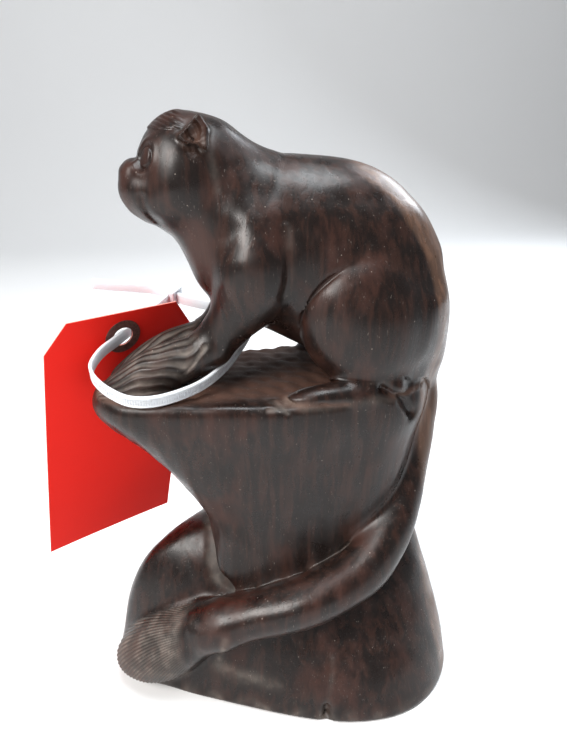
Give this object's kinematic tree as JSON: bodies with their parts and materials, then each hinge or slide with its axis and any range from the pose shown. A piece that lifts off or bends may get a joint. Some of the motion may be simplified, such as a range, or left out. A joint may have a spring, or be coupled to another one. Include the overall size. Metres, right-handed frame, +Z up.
{
  "type": "monkey figurine",
  "caption": "Dark carved hardwood monkey leaning on its hands on a tree stump, its tail wound down to the root base, with a card tag on a cable tie round the wrists.",
  "frame": {"origin": "middle of the flat underside of the base", "axes": "+Z up; the monkey faces -X and its left side faces -Y"},
  "size_m": [0.176, 0.1081, 0.2265],
  "materials": {
    "carved_wood": "dark, waxed, satin",
    "nylon": "translucent white, fine ribs",
    "red_card": "matt card",
    "patch_card": "matt fibre"
  },
  "bodies": {
    "carving": {"base": "carved_wood", "stump": "carved_wood", "torso": "carved_wood", "neck": "carved_wood", "head": "carved_wood", "muzzle": "carved_wood", "left_ear": "carved_wood", "right_ear": "carved_wood", "left_eye": "carved_wood", "right_eye": "carved_wood", "left_arm": "carved_wood", "right_arm": "carved_wood", "left_hand": "carved_wood", "right_hand": "carved_wood", "left_haunch": "carved_wood", "right_haunch": "carved_wood", "left_foot": "carved_wood", "right_foot": "carved_wood", "tail": "carved_wood", "tail_tuft": "carved_wood"},
    "cable_tie": {"tie_strap": "nylon", "tie_head": "nylon"},
    "tag": {"tag_card": "red_card", "tag_front_patch": "patch_card", "tag_back_patch": "patch_card"}
  },
  "joints": [
    {"name": "tie_lift", "type": "hinge", "parent": "carving", "child": "cable_tie", "pos_m": [-0.0201, -0.0054, 0.1425], "axis": [0.5769, 0.8168, 0], "range_deg": [0, 10]},
    {"name": "tag_swing", "type": "hinge", "parent": "cable_tie", "child": "tag", "pos_m": [-0.0601, 0.0103, 0.1482], "axis": [-0.482, 0.8186, 0.3123], "range_deg": [-25, 25]}
  ]
}
